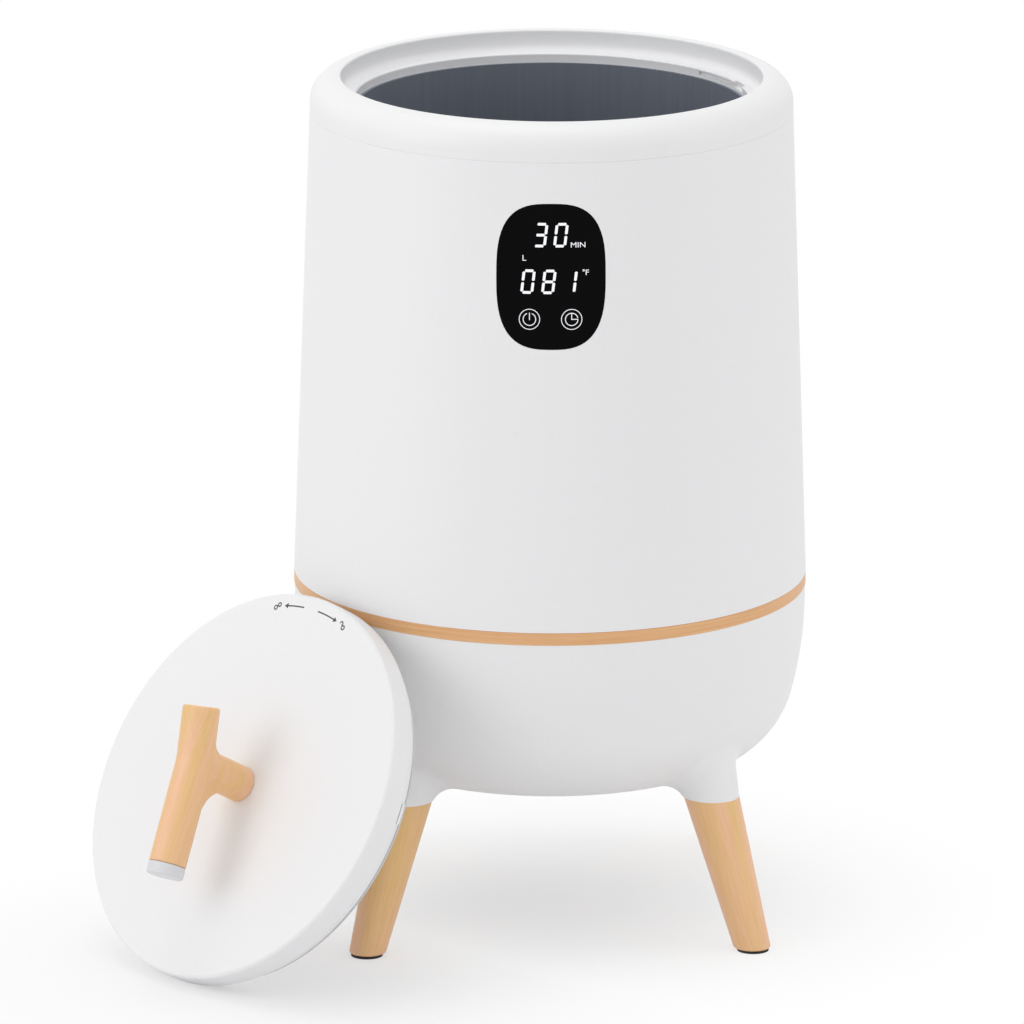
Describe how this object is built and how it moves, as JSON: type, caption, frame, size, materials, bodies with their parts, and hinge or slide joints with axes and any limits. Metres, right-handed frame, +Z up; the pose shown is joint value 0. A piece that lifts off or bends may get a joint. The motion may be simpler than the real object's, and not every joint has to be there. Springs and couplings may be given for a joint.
{
  "type": "towel warmer bucket",
  "caption": "Free-standing round towel warmer bucket on splayed wooden legs, with a touch display and a lift-off twist-lock lid leaning against it.",
  "frame": {"origin": "on the floor at the bucket's axis, in the middle of the four feet", "axes": "+Z up along the bucket's axis, -Y towards the display, +X to its right as seen from the front"},
  "size_m": [0.4158, 0.3889, 0.4975],
  "materials": {
    "white_plastic": "satin injection-moulded ABS",
    "copper_trim": "copper-peach painted ABS",
    "maple": "satin lacquered maple",
    "rubber_foot": "matt",
    "grey_coating": "satin slate-grey coating on aluminium",
    "black_window": "polished black acrylic",
    "black_plastic": "moulded",
    "grey_plastic": "moulded",
    "circuit_board": "solder-mask on glass-fibre laminate",
    "led_module": "diffusing epoxy",
    "conductive_foam": "carbon-loaded foam",
    "zinc_steel": "zinc plated",
    "brass": "machined",
    "silicone_orange": "moulded silicone",
    "silicone_grey": "moulded silicone",
    "felt": "needle felt",
    "foam": "closed-cell foam",
    "sensor_metal": "drawn can",
    "transformer_core": "varnished laminations",
    "capacitor_sleeve": "shrink sleeve",
    "lead_sleeve": "silicone insulation"
  },
  "bodies": {
    "bucket": {"outer_wall": "white_plastic", "top_rim": "white_plastic", "base_bowl": "white_plastic", "bottom_cover": "white_plastic", "trim_ring": "copper_trim", "leg_rear_right": "maple", "foot_pad_rear_right": "rubber_foot", "leg_rear_left": "maple", "foot_pad_rear_left": "rubber_foot", "leg_front_left": "maple", "foot_pad_front_left": "rubber_foot", "leg_front_right": "maple", "foot_pad_front_right": "rubber_foot", "inner_bucket": "grey_coating", "display_window": "black_window", "display_frame": "black_plastic", "relay": "black_plastic", "terminal_block": "black_plastic", "cord_gland": "grey_plastic", "gland_nut": "grey_plastic", "tray": "grey_plastic", "display_board": "circuit_board", "power_board": "circuit_board", "digit_modules": "led_module", "touch_pads": "conductive_foam", "cover_screws": "zinc_steel", "flange_screws": "zinc_steel", "body_screws": "zinc_steel", "display_screws": "zinc_steel", "board_screws": "zinc_steel", "leg_studs": "zinc_steel", "leg_inserts": "brass", "heater_mat": "silicone_orange", "insulation_sleeve": "felt", "bottom_felt": "felt", "temperature_sensor": "sensor_metal", "thermal_cutout": "sensor_metal", "transformer": "transformer_core", "capacitors": "capacitor_sleeve", "heater_leads": "lead_sleeve", "display_lead": "lead_sleeve", "sensor_leads": "lead_sleeve"},
    "seal_ring": {"lid_seal": "silicone_grey"},
    "lid": {"lid_top": "white_plastic", "lid_base": "white_plastic", "lid_insulation": "foam", "lid_screws": "zinc_steel", "lid_handle": "maple", "handle_cap": "white_plastic", "handle_insert": "brass", "handle_screw": "zinc_steel", "handle_washer": "zinc_steel"}
  },
  "joints": [
    {"name": "lid_lift", "type": "slide", "parent": "bucket", "child": "seal_ring", "axis": [0, 0, 1], "range_m": [0, 0.3]},
    {"name": "lid_turn", "type": "hinge", "parent": "seal_ring", "child": "lid", "pos_m": [-0.17766, -0.14132, 0.10909], "axis": [-0.6506, -0.5756, 0.4955], "range_deg": [0, 20]}
  ]
}
